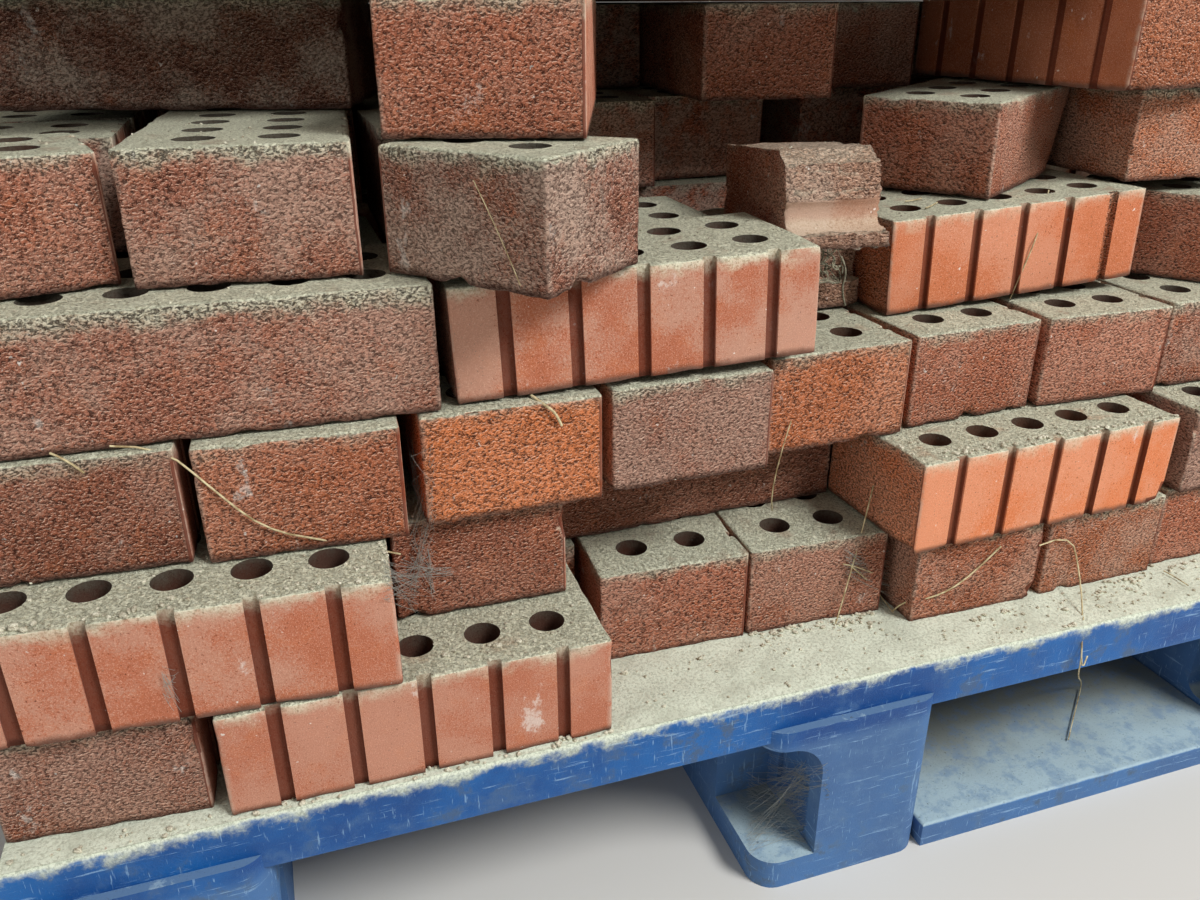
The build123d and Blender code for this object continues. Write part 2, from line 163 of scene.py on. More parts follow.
class Graph:
    """One node material and the short ways in which its nodes are added and linked."""

    def __init__(self, name: str) -> None:
        """Starts a material that has only its shader and its output."""
        self.material = bpy.data.materials.new(name)
        self.material.use_nodes = True
        self.nodes = self.material.node_tree.nodes
        self.links = self.material.node_tree.links
        self.shader = self.nodes["Principled BSDF"]

    def add(self, kind: str, inputs: dict | None = None, **settings: object) -> bpy.types.Node:
        """Adds a node.

        Args:
            kind: The node's type, without its prefix.
            inputs: Values or sockets for its inputs, by name or number.
            settings: Values for the node's own properties.

        Returns:
            The node.
        """
        node = self.nodes.new(f"ShaderNode{kind}")
        for key, value in settings.items():
            setattr(node, key, value)
        for key, value in (inputs or {}).items():
            self.feed(node.inputs[key], value)
        return node

    def feed(self, socket: Socket, value: object) -> None:
        """Links a socket to an input, or sets the input's value."""
        if isinstance(value, Socket):
            self.links.new(value, socket)
        else:
            socket.default_value = value

    def math(self, operation: str, *values: object) -> Socket:
        """Gives the result of one sum on sockets or numbers."""
        node = self.add("Math", dict(enumerate(values)), operation=operation)
        return node.outputs[0]

    def times(self, first: object, second: object) -> Socket:
        """Gives the product of two values."""
        return self.math("MULTIPLY", first, second)

    def plus(self, first: object, second: object) -> Socket:
        """Gives the sum of two values."""
        return self.math("ADD", first, second)

    def less(self, first: object, second: object) -> Socket:
        """Gives the first value less the second."""
        return self.math("SUBTRACT", first, second)

    def most(self, first: object, second: object) -> Socket:
        """Gives the larger of two values."""
        return self.math("MAXIMUM", first, second)

    def grey(self, value: Socket) -> Socket:
        """Gives a grey of a value."""
        return self.add("CombineColor", {i: value for i in range(3)}).outputs[0]

    def step(self, value: object, low: float, high: float, top: float = 1.0) -> Socket:
        """Gives a soft step from 0 to top as value goes from low to high."""
        inputs = {"Value": value, "From Min": low, "From Max": high, "To Min": 0.0, "To Max": top}
        node = self.add("MapRange", inputs, interpolation_type="SMOOTHSTEP")
        return node.outputs["Result"]

    def mix(self, share: object, first: object, second: object, blend: str = "MIX") -> Socket:
        """Gives the mix of two colours."""
        node = self.add("Mix", data_type="RGBA", blend_type=blend)
        self.feed(node.inputs[0], share)
        self.feed(node.inputs[6], first)
        self.feed(node.inputs[7], second)
        return node.outputs[2]

    def scaled(self, vector: object, scale: tuple, shift: tuple = (0, 0, 0)) -> Socket:
        """Gives a vector stretched by a scale for each axis and then shifted."""
        node = self.add("Mapping", {"Vector": vector, "Scale": scale, "Location": shift})
        return node.outputs["Vector"]

    def noise(self, vector: object, scale: float, detail: float = 3.0, roughness: float = 0.6,
              distortion: float = 0.0) -> Socket:
        """Gives cloudy noise of about 0 to 1 around a half."""
        inputs = {"Vector": vector, "Scale": scale, "Detail": detail, "Roughness": roughness,
                  "Distortion": distortion}
        return self.add("TexNoise", inputs).outputs["Fac"]

    def attribute(self, name: str) -> bpy.types.Node:
        """Gives the node that reads one of the mesh's own attributes."""
        return self.add("Attribute", attribute_name=name)

    def upward(self) -> Socket:
        """Gives how far a surface faces up, from -1 to 1."""
        geometry = self.add("NewGeometry")
        return self.add("SeparateXYZ", {0: geometry.outputs["Normal"]}).outputs["Z"]

    def object_place(self) -> Socket:
        """Gives the place on the object in metres."""
        return self.add("TexCoord").outputs["Object"]

    def bump(self, height: object, distance: float, strength: float = 1.0,
             normal: object = None) -> Socket:
        """Gives a normal that is roughened by a height."""
        node = self.add("Bump", {"Height": height, "Distance": distance, "Strength": strength})
        if normal is not None:
            self.feed(node.inputs["Normal"], normal)
        return node.outputs["Normal"]

    def finish(self, colour: object, roughness: object, normal: object) -> bpy.types.Material:
        """Feeds the shader and gives the material."""
        self.feed(self.shader.inputs["Base Color"], colour)
        self.feed(self.shader.inputs["Roughness"], roughness)
        self.feed(self.shader.inputs["Normal"], normal)
        return self.material


@dataclass(frozen=True)
class FiredClay:
    """Textured red facing brick, smooth on its grooved face and dusty on what faces up, with painted
    highlight and painted shade in its texture, pits, grooves and holes and at the foot of its sides.
    """

    plum: tuple = srgb(164, 108, 88)
    red: tuple = srgb(194, 112, 80)
    orange: tuple = srgb(214, 122, 70)
    # Painted shade: the darkest colour of the pits, the pores, the shaded side of each lip and the foot
    # of each side
    pit: tuple = srgb(62, 30, 20)
    # Painted highlight on the lit side of each lip of the texture; also the real pale grains on the
    # smooth faces
    lip: tuple = srgb(248, 214, 190)
    # Painted shade in the grooves, with the dark dirt along them
    groove: tuple = srgb(104, 46, 30)
    broken: tuple = srgb(178, 144, 120)
    film: tuple = srgb(206, 188, 170)
    dust: tuple = srgb(230, 230, 204)
    dust_shade: tuple = srgb(180, 176, 148)
    speck: tuple = srgb(96, 84, 66)
    salt: tuple = srgb(240, 232, 222)
    # Painted shade inside the holes and on the bottoms
    soot: tuple = srgb(38, 25, 20)
    drag: tuple = (1, 1, 1.5)
    # Shift between two copies of the texture, whose difference paints highlight and shade as if lit from
    # above
    lit_from: tuple = (0.0001, 0.0001, 0.0006)

    def material(self) -> bpy.types.Material:
        """Builds the node material."""
        graph = Graph("fired_clay")
        lay = graph.attribute("lay").outputs["Vector"]
        tone, warmth, film, settled, worn, smooth, groove, broken, dirt = [
            graph.attribute(name).outputs["Fac"]
            for name in ("tone", "warmth", "film", "settled", "worn", "smooth_face", "groove_face",
                         "broken_face", "dirt")]
        textured = graph.less(1.0, smooth)
        height = graph.add("SeparateXYZ", {0: lay}).outputs["Z"]

        patches = graph.noise(lay, 16, 4)
        mottle = graph.noise(lay, 60, 4, 0.65)
        crumbs = graph.noise(lay, 700, 4, 0.7)
        grain = graph.noise(lay, 1500, 3, 0.75)
        # Two copies of the texture, one shifted towards the light: their difference paints an emboss of
        # highlight and shade
        torn, under = [graph.noise(graph.scaled(lay, self.drag, shift), 480, 5, 0.70, 0.4)
                       for shift in ((0, 0, 0), self.lit_from)]
        slope = graph.less(torn, under)

        base = graph.mix(graph.step(warmth, 0.0, 0.55), self.plum, self.red)
        base = graph.mix(graph.step(warmth, 0.5, 1.05), base, self.orange)
        shade = graph.plus(graph.times(tone, 0.80), graph.times(patches, 0.60))
        shade = graph.plus(0.02, graph.plus(shade, graph.times(grain, 0.5)))
        base = graph.mix(1.0, base, graph.grey(shade), "MULTIPLY")
        base = graph.mix(graph.step(mottle, 0.50, 0.70, 0.25), base, self.orange)
        base = graph.mix(graph.times(broken, 0.7), base, self.broken)

        # Painted shade in the deep pits and on the shaded side of each lip
        pit_shade_mask = graph.most(graph.step(torn, 0.47, 0.40), graph.step(slope, -0.04, -0.12, 0.85))
        hollow_shade = graph.times(pit_shade_mask, textured)
        # Painted highlight on the lit side of each lip
        ridge_highlight = graph.times(graph.step(slope, 0.04, 0.15, 0.75), textured)
        rough = graph.mix(ridge_highlight, base, self.lip)
        rough = graph.mix(graph.times(hollow_shade, 0.90), rough, self.pit)
        grains = graph.times(graph.step(grain, 0.50, 0.72, 0.45), smooth)
        rough = graph.mix(grains, rough, self.lip)
        # Painted shade in the pores of the smooth faces
        pore_shade = graph.times(graph.step(crumbs, 0.40, 0.31, 0.75), smooth)
        rough = graph.mix(pore_shade, rough, self.pit)

        clear = graph.less(1.0, graph.times(hollow_shade, 0.7))
        clouds = graph.plus(patches, graph.times(graph.less(crumbs, 0.5), 0.5))
        dusty = graph.times(graph.step(clouds, 0.40, 0.60), graph.times(film, 0.68))
        rubbed = graph.times(graph.times(worn, 0.7), graph.step(mottle, 0.36, 0.56))
        dusty = graph.times(graph.most(dusty, rubbed), clear)
        coloured = graph.mix(dusty, rough, self.film)
        salts = graph.noise(graph.scaled(lay, (1, 1, 0.7)), 34, 6, 0.75)
        coloured = graph.mix(graph.step(salts, 0.62, 0.70, 0.55), coloured, self.salt)
        flecks = graph.noise(lay, 210, 2)
        coloured = graph.mix(graph.step(flecks, 0.72, 0.76, 0.8), coloured, self.salt)
        # Painted shade in the grooves, with their dark dirt
        coloured = graph.mix(graph.times(groove, 0.80), coloured, self.groove)
        # Painted shade along the foot of each side, where the bricks meet
        foot = graph.step(graph.less(height, graph.times(mottle, 0.006)), 0.003, -0.002, 0.75)
        coloured = graph.mix(foot, coloured, self.pit)

        edge = graph.plus(height, graph.times(mottle, 0.026))
        spill = graph.times(graph.step(edge, 0.068, 0.080), graph.step(film, -0.1, 0.6, 0.85))
        spill = graph.times(spill, graph.less(1.0, graph.times(hollow_shade, 0.6)))
        level = graph.plus(graph.upward(), graph.times(graph.less(mottle, 0.5), 0.5))
        lying = graph.most(graph.step(level, 0.25, 0.70), spill)
        powder = graph.mix(graph.step(crumbs, 0.36, 0.56), self.dust_shade, self.dust)
        powder = graph.mix(graph.step(graph.noise(lay, 480, 3), 0.62, 0.70, 0.8), powder, self.speck)
        bare = graph.step(graph.noise(lay, 34, 5, 0.65), 0.56, 0.70, 0.5)
        powder = graph.mix(bare, powder, graph.mix(0.55, base, self.dust_shade))
        lying = graph.times(lying, settled)
        coloured = graph.mix(lying, coloured, powder)
        # Painted shade inside the holes and on the bottoms
        coloured = graph.mix(dirt, coloured, self.soot)

        crags = graph.plus(graph.step(torn, 0.36, 0.54), torn)
        relief = graph.times(crags, graph.plus(graph.times(textured, 0.94), 0.06))
        normal = graph.bump(relief, 0.0009, 0.9)
        normal = graph.bump(graph.plus(grain, graph.times(crumbs, lying)), 0.0006, 0.8, normal)
        graph.shader.inputs["Specular IOR Level"].default_value = 0.2
        return graph.finish(coloured, 0.94, normal)


@dataclass(frozen=True)
class WornPlastic:
    """Blue moulded plastic, scuffed along its edges, filmed with grime and dusty on top, with painted
    shade on the thin dust further back under the deck.

    film_top is the height below which the plastic is filmed grey, and dust_low is the height
    above which the dust on its level faces lies thick and pale.
    """

    name: str
    film_top: float
    dust_low: float
    blue: tuple = srgb(10, 96, 168)
    deep: tuple = srgb(4, 66, 132)
    scuff: tuple = srgb(140, 176, 212)
    film: tuple = srgb(96, 130, 168)
    grime: tuple = srgb(74, 80, 80)
    dust: tuple = srgb(222, 228, 208)
    dust_shade: tuple = srgb(176, 182, 164)
    pale_blue: tuple = srgb(168, 192, 202)
    ledge: tuple = srgb(62, 102, 148)
    # Painted shade: the thin dust turns this darker grey further back under the deck
    settled_grey: tuple = srgb(122, 128, 122)

    def material(self) -> bpy.types.Material:
        """Builds the node material."""
        graph = Graph(self.name)
        place = graph.object_place()
        axes = graph.add("SeparateXYZ", {0: place}).outputs
        depth, height = axes["Y"], axes["Z"]
        patches = graph.noise(place, 9, 4)
        mottle = graph.noise(place, 55, 5, 0.7)
        grain = graph.noise(place, 700, 3, 0.7)
        scratches = graph.noise(graph.scaled(place, (1, 1, 16)), 26, 5, 0.75)
        crossing = graph.noise(graph.scaled(place, (9, 9, 1)), 40, 3, 0.7)
        hairs = graph.noise(graph.scaled(place, (14, 14, 1.5)), 60, 2, 0.6)
        crumbs = graph.noise(place, 600, 4, 0.7)

        colour = graph.mix(graph.step(patches, 0.35, 0.65), self.deep, self.blue)
        low = graph.step(graph.plus(height, graph.times(mottle, 0.02)),
                         self.film_top + 0.014, self.film_top + 0.002)
        filmed = graph.plus(graph.step(mottle, 0.46, 0.68, 0.32), graph.times(low, 0.5))
        colour = graph.mix(filmed, colour, self.film)
        grimy = graph.times(graph.step(mottle, 0.50, 0.64), graph.step(patches, 0.42, 0.60, 0.55))
        colour = graph.mix(grimy, colour, self.grime)
        worn = graph.most(graph.step(scratches, 0.59, 0.67, 0.7), graph.step(crossing, 0.62, 0.70, 0.6))
        worn = graph.most(worn, graph.step(hairs, 0.68, 0.72, 0.7))
        colour = graph.mix(worn, colour, self.scuff)

        powder = graph.mix(graph.step(crumbs, 0.36, 0.58), self.dust_shade, self.dust)
        edge = graph.plus(height, graph.times(mottle, 0.030))
        spill = graph.step(edge, 0.1665, 0.1755, 0.85)
        colour = graph.mix(spill, colour, powder)
        jitter = graph.times(graph.less(mottle, 0.5), 0.7)
        lying = graph.step(graph.plus(graph.upward(), jitter), 0.30, 0.75)
        # Painted shade, growing further back under the deck
        behind = graph.step(graph.plus(depth, graph.times(patches, 0.08)), -0.545, -0.470)
        thin = graph.mix(behind, self.pale_blue, self.settled_grey)
        thin = graph.mix(graph.step(mottle, 0.45, 0.65, 0.5), thin, self.film)
        thin = graph.mix(graph.step(crumbs, 0.42, 0.32, 0.4), thin, self.grime)
        raised = graph.times(graph.step(height, 0.030, 0.050), graph.step(mottle, 0.62, 0.50, 0.85))
        thin = graph.mix(raised, thin, self.ledge)
        thick = graph.step(height, self.dust_low - 0.004, self.dust_low)
        powder = graph.mix(thick, thin, powder)
        powder = graph.mix(graph.step(graph.noise(place, 300, 3), 0.66, 0.74, 0.6), powder, self.grime)
        colour = graph.mix(lying, colour, powder)

        roughness = graph.plus(0.42, graph.times(graph.most(lying, filmed), 0.5))
        normal = graph.bump(scratches, 0.0008, 0.35)
        normal = graph.bump(graph.plus(grain, graph.times(crumbs, lying)), 0.0007, 0.5, normal)
        return graph.finish(colour, roughness, normal)


@dataclass(frozen=True)
class LooseDust:
    """Grey green mortar dust and grit."""

    pale: tuple = srgb(224, 230, 210)
    shade: tuple = srgb(188, 192, 172)
    speck: tuple = srgb(104, 98, 82)
    red_grit: tuple = srgb(172, 122, 98)

    def material(self, name: str = "loose_dust") -> bpy.types.Material:
        """Builds the node material."""
        graph = Graph(name)
        place = graph.object_place()
        crumbs = graph.noise(place, 520, 4, 0.72)
        drifts = graph.noise(place, 30, 5, 0.65)
        grit = graph.noise(place, 260, 2)
        specks = graph.noise(place, 380, 3)
        colour = graph.mix(graph.step(crumbs, 0.36, 0.56), self.shade, self.pale)
        colour = graph.mix(graph.step(drifts, 0.48, 0.68, 0.5), colour, self.shade)
        colour = graph.mix(graph.step(specks, 0.67, 0.74, 0.7), colour, self.speck)
        colour = graph.mix(graph.step(grit, 0.74, 0.79, 0.6), colour, self.red_grit)
        return graph.finish(colour, 0.97, graph.bump(crumbs, 0.0012, 0.8))


@dataclass(frozen=True)
class DryStraw:
    """Dry grass stalks, streaked pale and brown."""

    pale: tuple = srgb(214, 200, 158)
    brown: tuple = srgb(150, 128, 88)

    def material(self) -> bpy.types.Material:
        """Builds the node material."""
        graph = Graph("dry_straw")
        streaks = graph.noise(graph.object_place(), 160, 3)
        colour = graph.mix(graph.step(streaks, 0.35, 0.65), self.brown, self.pale)
        return graph.finish(colour, 0.7, graph.bump(streaks, 0.0002, 0.5))


@dataclass
class BrickSolid:
    """One brick of a course, taken from its CAD solid into its own axes and worn.

    Sizes are in metres. In the brick's own axes, x runs along it, z is up, and the grooved
    face is at y = 0.
    """

    mesh: Solid
    character: Character
    seed: int
    detail: float
    fine: bool
    outward: Vector
    groove_depth: float = 3.6 * MM
    arris: float = 1.6 * MM
    wear: float = 5.0 * MM
    inset: float = 8.0 * MM
    fine_pitch: float = 2.4 * MM
    texture_depth: float = 0.4 * MM
    broken_kinds: tuple[Grade, ...] = (Grade.BROKEN,)
    # Painted shade on the hole and bottom faces, by grade, as a share of the darkest colour
    dirt: dict[int, float] = field(default_factory=lambda: {Grade.HOLE: 0.88, Grade.BOTTOM: 0.6})
    to_world: Matrix = field(default_factory=Matrix)
    size: Vector = field(default_factory=Vector)

    def side_directions(self) -> list[Vector]:
        """Gives the level directions in which the solid has flat sides, the widest side first."""
        areas: dict[tuple[float, float], float] = {}
        for face in self.mesh.faces:
            if abs(face.normal.z) < 0.2:
                key = (round(face.normal.x, 2), round(face.normal.y, 2))
                areas[key] = areas.get(key, 0.0) + face.calc_area()
        ordered = sorted(areas, key=lambda key: -areas[key])
        return [Vector((x, y, 0)).normalized() for x, y in ordered[:4]]

    def groove_area(self, direction: Vector) -> float:
        """Gives the area of the groove bottoms behind the side that faces a direction."""
        flat = [face for face in self.mesh.faces if face.normal.dot(direction) > 0.995]
        if not flat:
            return 0.0
        reach = max(vertex.co.dot(direction) for vertex in self.mesh.verts)
        depths = [(reach - face.calc_center_median().dot(direction), face.calc_area()) for face in flat]
        near, far = self.groove_depth * 0.7, self.groove_depth * 1.3
        return sum(area for depth, area in depths if near < depth < far)

    def front(self) -> Vector:
        """Gives the direction that the grooved face looks in, or else one of the long faces."""
        sides = self.side_directions()
        grooved = max(sides, key=self.groove_area)
        return grooved if self.groove_area(grooved) > 0 else sides[0]

    def settle_axes(self) -> None:
        """Turns the mesh into the brick's own axes and keeps the way back."""
        level = [face.normal * face.calc_area() for face in self.mesh.faces if face.normal.z > 0.9]
        up = sum(level, Vector())
        up.normalize()
        front = self.front()
        across = -(front - up * front.dot(up)).normalized()
        along = across.cross(up)
        turn = Matrix((along, across, up)).to_4x4()
        bmesh.ops.transform(self.mesh, matrix=turn, verts=self.mesh.verts)
        low = Vector([min(vertex.co[axis] for vertex in self.mesh.verts) for axis in range(3)])
        high = Vector([max(vertex.co[axis] for vertex in self.mesh.verts) for axis in range(3)])
        bmesh.ops.translate(self.mesh, vec=-low, verts=self.mesh.verts)
        self.size = high - low
        self.to_world = turn.inverted() @ Matrix.Translation(low)

    def grade_faces(self) -> None:
        """Writes what each face is into the mesh's grade layer."""
        grade = self.mesh.faces.layers.int.new("grade")
        for face in self.mesh.faces:
            spots = [vertex.co for vertex in face.verts]
            inside = all(self.inset < spot.x < self.size.x - self.inset
                         and self.inset < spot.y < self.size.y - self.inset for spot in spots)
            deepest = max(spot.y for spot in spots)
            square = max(abs(face.normal.x), abs(face.normal.y)) > 0.99
            if face.normal.z > 0.8:
                face[grade] = Grade.TOP
            elif face.normal.z < -0.8:
                face[grade] = Grade.BOTTOM
            elif inside:
                face[grade] = Grade.HOLE
            elif deepest < self.groove_depth * 1.2:
                face[grade] = Grade.SMOOTH
            elif not square and face.calc_area() > 150 * MM * MM:
                face[grade] = Grade.BROKEN
            else:
                face[grade] = Grade.TEXTURED

    def cuts(self, axis: int, pitch: float) -> list[float]:
        """Gives the places of the cuts along an axis: close together at the arrises."""
        length = self.size[axis]
        near = [self.arris, self.arris * 2.6]
        count = max(1, round((length - 2 * near[-1]) / pitch))
        middle = [near[-1] + (length - 2 * near[-1]) * i / count for i in range(1, count)]
        return near + middle + [length - place for place in near]

    def cut(self, kinds: set[Grade], axis: int, pitch: float, towards: Vector | None = None) -> None:
        """Cuts faces of some kinds across an axis.

        Args:
            kinds: The kinds of face to cut.
            axis: The axis that the cuts stand across.
            pitch: The distance between them.
            towards: If given, only faces that look this way are cut.
        """
        grade = self.mesh.faces.layers.int["grade"]
        normal = Vector([float(i == axis) for i in range(3)])
        for place in self.cuts(axis, pitch):
            faces = [face for face in self.mesh.faces
                     if face[grade] in kinds and (towards is None or face.normal.dot(towards) > 0.35)]
            geometry = {item for face in faces for item in (*face.verts, *face.edges, face)}
            bmesh.ops.bisect_plane(self.mesh, geom=list(geometry), plane_co=normal * place,
                                   plane_no=normal, dist=1e-6)

    def refine(self) -> None:
        """Cuts the outer faces into a grid, finely where they face the viewer."""
        bmesh.ops.dissolve_limit(self.mesh, angle_limit=math.radians(0.5), verts=self.mesh.verts,
                                 edges=self.mesh.edges)
        self.mesh.normal_update()
        self.grade_faces()
        if not self.detail:
            return
        sides = {Grade.TEXTURED, Grade.SMOOTH, Grade.BROKEN}
        inwards = self.to_world.to_3x3().inverted()
        shown = (inwards @ self.outward).normalized() if self.outward.length else None
        self.cut(sides, 2, self.detail, shown)
        self.cut(sides | {Grade.TOP}, 0, self.detail, shown)
        self.cut(sides | {Grade.TOP}, 1, self.detail, shown)
        if self.fine:
            viewer = (inwards @ Vector((0, -1, 0))).normalized()
            for axis in range(3):
                self.cut({Grade.TEXTURED, Grade.BROKEN}, axis, self.fine_pitch, viewer)

    def rounded(self, spot: Vector) -> Vector:
        """Gives where a point of the sharp solid lies once its arrises are worn."""
        ragged = noise.noise(spot * 55 + Vector((self.seed, 0, 0)))
        worn = self.arris + max(0.0, ragged) * self.wear
        core = Vector([min(max(spot[i], worn), self.size[i] - worn) for i in range(3)])
        away = spot - core
        if away.length > worn:
            return core + away * (worn / away.length)
        return spot

    def relief(self, spot: Vector) -> float:
        """Gives how deep the dragged texture is at a point, from 0 to 1."""
        stretched = Vector((spot.x * 170, spot.y * 170, spot.z * 380)) + Vector((self.seed, 0, 0))
        value = noise.noise(stretched) + 0.5 * noise.noise(stretched * 2.1)
        return min(1.0, max(0.0, 0.5 - value))

    def chips(self) -> list[tuple[Vector, float]]:
        """Gives the middle and the size of each chip knocked off an edge."""
        chance = random.Random(self.seed)
        found = []
        for _ in range(chance.randint(1, 4)):
            spot = Vector([chance.choice((0.0, 1.0)) * self.size[i] for i in range(3)])
            axis = chance.randrange(3)
            spot[axis] = chance.random() * self.size[axis]
            found.append((spot, chance.uniform(3, 9) * MM))
        return found

    def weather(self) -> None:
        """Wears the arrises, knocks chips off and presses the texture into the faces."""
        grade = self.mesh.faces.layers.int["grade"]
        chips = self.chips()
        self.mesh.normal_update()
        moved = {}
        for vertex in self.mesh.verts:
            kinds = {face[grade] for face in vertex.link_faces}
            if Grade.HOLE in kinds:
                continue
            spot = vertex.co.copy()
            place = self.rounded(spot)
            depth = 0.12
            if kinds & {Grade.TEXTURED, Grade.BROKEN}:
                depth = self.relief(spot) if self.fine else 0.3
            place -= vertex.normal * depth * self.texture_depth
            for middle, reach in chips:
                gap = (spot - middle).length
                if gap < reach:
                    bite = (reach - gap) * (0.75 + 0.4 * noise.noise(spot * 400))
                    place += (self.size / 2 - middle).normalized() * bite * 0.8
            moved[vertex] = place
        for vertex, place in moved.items():
            vertex.co = place

    def in_groove(self, face: Face) -> bool:
        """Whether a smooth face is a side or the bottom of a groove."""
        return face.calc_center_median().y > self.groove_depth * 0.3

    def nearness(self, spot: Vector) -> float:
        """Gives how near a point is to an arris, from 0 well away from it to 1 on it."""
        gaps = sorted(min(spot[i], self.size[i] - spot[i]) for i in range(3))
        return max(0.0, 1.0 - max(0.0, gaps[1]) / (self.arris * 2.6))

    def label(self) -> None:
        """Writes the attributes that the material reads, then puts the brick in its place."""
        of_verts, of_faces = self.mesh.verts.layers, self.mesh.faces.layers
        grade = of_faces.int["grade"]
        lay = of_verts.float_vector.new("lay")
        values = vars(self.character)
        layers = {name: of_verts.float.new(name) for name in values}
        worn = of_verts.float.new("worn")
        smooth, groove, broken, dirt = [
            of_faces.float.new(name) for name in ("smooth_face", "groove_face", "broken_face", "dirt")]
        shift = Vector((self.seed * 0.37, self.seed * 0.19, 0))
        for vertex in self.mesh.verts:
            vertex[lay] = vertex.co + shift
            vertex[worn] = self.nearness(vertex.co)
            for name, value in values.items():
                vertex[layers[name]] = value
        for face in self.mesh.faces:
            face[smooth] = float(face[grade] in (Grade.SMOOTH, Grade.HOLE, Grade.BOTTOM))
            face[groove] = float(face[grade] == Grade.SMOOTH and self.in_groove(face))
            face[broken] = float(face[grade] in self.broken_kinds)
            # Painted shade on the hole and bottom faces
            face[dirt] = self.dirt.get(face[grade], 0.0)
            face.smooth = True
        bmesh.ops.transform(self.mesh, matrix=self.to_world, verts=self.mesh.verts)


@dataclass
class BrokenPiece(BrickSolid):
    """A piece of an odd section, rough where it broke and smooth where a perforation ran."""

    channel_reach: float = 30.0 * MM
    texture_depth: float = 2.0 * MM
    broken_kinds: tuple[Grade, ...] = (Grade.BROKEN, Grade.SMOOTH)

    def in_groove(self, face: Face) -> bool:
        """Whether a smooth face belongs to a groove, which none does here."""
        return False

    def front(self) -> Vector:
        """Gives the side that looks most towards the viewer."""
        return min(self.side_directions(), key=lambda side: side.y)

    def grade_faces(self) -> None:
        """Writes what each face is: the narrow curved ones line the old perforation."""
        grade = self.mesh.faces.layers.int.new("grade")
        for face in self.mesh.faces:
            spots = [vertex.co for vertex in face.verts]
            narrow = all(max(spot[i] for spot in spots) - min(spot[i] for spot in spots) < 5 * MM
                         for i in (1, 2))
            curved = 0.05 < abs(face.normal.z) < 0.999 and narrow
            near = face.calc_center_median().y < self.channel_reach
            if face.normal.z < -0.99 and face.calc_center_median().z < 1 * MM:
                face[grade] = Grade.BOTTOM
            elif curved and near:
                face[grade] = Grade.SMOOTH
            elif abs(face.normal.x) > 0.99:
                face[grade] = Grade.TEXTURED
            else:
                face[grade] = Grade.BROKEN


@dataclass
class Course:
    """The bricks of one CAD node, as one piece that stands for it."""

    node: str
    level: int
    front: bool
    material: bpy.types.Material
    coarse_pitch: float = 11.0 * MM
    side_pitch: float = 20.0 * MM
    sharp_angle: float = 42.0
    edge_band: float = 60.0 * MM
    usual_spans: tuple = ((0.3, 0.65), (0.1, 0.8), (0.2, 0.6))
    top_front: float = 200.0 * MM

    def solids(self) -> list[Solid]:
        """Parts a merged copy of the node's mesh into its solids, from left to right."""
        whole = bmesh.new()
        whole.from_mesh(frame["nodes"][self.node].data)
        bmesh.ops.remove_doubles(whole, verts=whole.verts, dist=1e-5)
        mesh = bpy.data.meshes.new(f"{self.node}_solid")
        whole.to_mesh(mesh)
        whole.free()
        before = set(bpy.data.objects)
        copy = add_piece(mesh, mesh.name)
        bpy.ops.object.select_all(action="DESELECT")
        copy.select_set(True)
        bpy.context.view_layer.objects.active = copy
        bpy.ops.mesh.separate(type="LOOSE")
        parts = []
        for loose in [item for item in bpy.data.objects if item not in before]:
            part = bmesh.new()
            part.from_mesh(loose.data)
            part.normal_update()
            parts.append(part)
            bpy.data.meshes.remove(loose.data)
        return sorted(parts, key=lambda part: min(vertex.co.x for vertex in part.verts))

    def outward(self, part: Solid) -> Vector:
        """Gives the ways in which a brick behind the front ones shows, or nothing where it is hidden."""
        low, high = CAD_BOX
        near = Vector([min(vertex.co[axis] for vertex in part.verts) - low[axis] for axis in range(3)])
        far = Vector([high[axis] - max(vertex.co[axis] for vertex in part.verts) for axis in range(3)])
        across = (far.x < self.edge_band) - (near.x < self.edge_band)
        up = int(far.z < self.edge_band)
        back = (far.y < self.edge_band) - (up and near.y < self.top_front)
        return Vector((across, back, up))

    def build(self) -> Piece:
        """Builds the bricks and joins them into one piece."""
        chance = random.Random(self.level * 10 + self.front)
        bricks = []
        for index, part in enumerate(self.solids()):
            usual = Character(*[chance.uniform(*span) for span in self.usual_spans])
            character = CHARACTERS.get((self.level, index), usual) if self.front else usual
            outward = Vector() if self.front else self.outward(part)
            detail = self.coarse_pitch if self.front else self.side_pitch * bool(outward.length)
            seed = self.level * 40 + index + 20 * (not self.front)
            kind = BrokenPiece if self.front and (self.level, index) in BROKEN_PIECES else BrickSolid
            solid = kind(part, character, seed, detail, self.front, outward)
            solid.settle_axes()
            solid.refine()
            solid.weather()
            solid.label()
            mesh = bpy.data.meshes.new(f"{self.node}_brick_{index}")
            part.to_mesh(mesh)
            part.free()
            mesh.set_sharp_from_angle(angle=math.radians(self.sharp_angle))
            bricks.append(add_piece(mesh, mesh.name))
        with bpy.context.temp_override(active_object=bricks[0], selected_editable_objects=bricks):
            bpy.ops.object.join()
        piece = bricks[0]
        piece.name = f"{self.node}_bricks"
        piece.data.name = piece.name
        piece.data.materials.append(self.material)
        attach(piece, "root")
        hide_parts(self.node)
        log.info("%s: %d bricks, %d faces", piece.name, len(bricks), len(piece.data.polygons))
        return piece


def add_piece(data: bpy.types.ID, name: str) -> Piece:
    """Makes an object of a mesh, a curve, a lamp or a camera and links it to the scene."""
    piece = bpy.data.objects.new(name, data)
    bpy.context.scene.collection.objects.link(piece)
    return piece


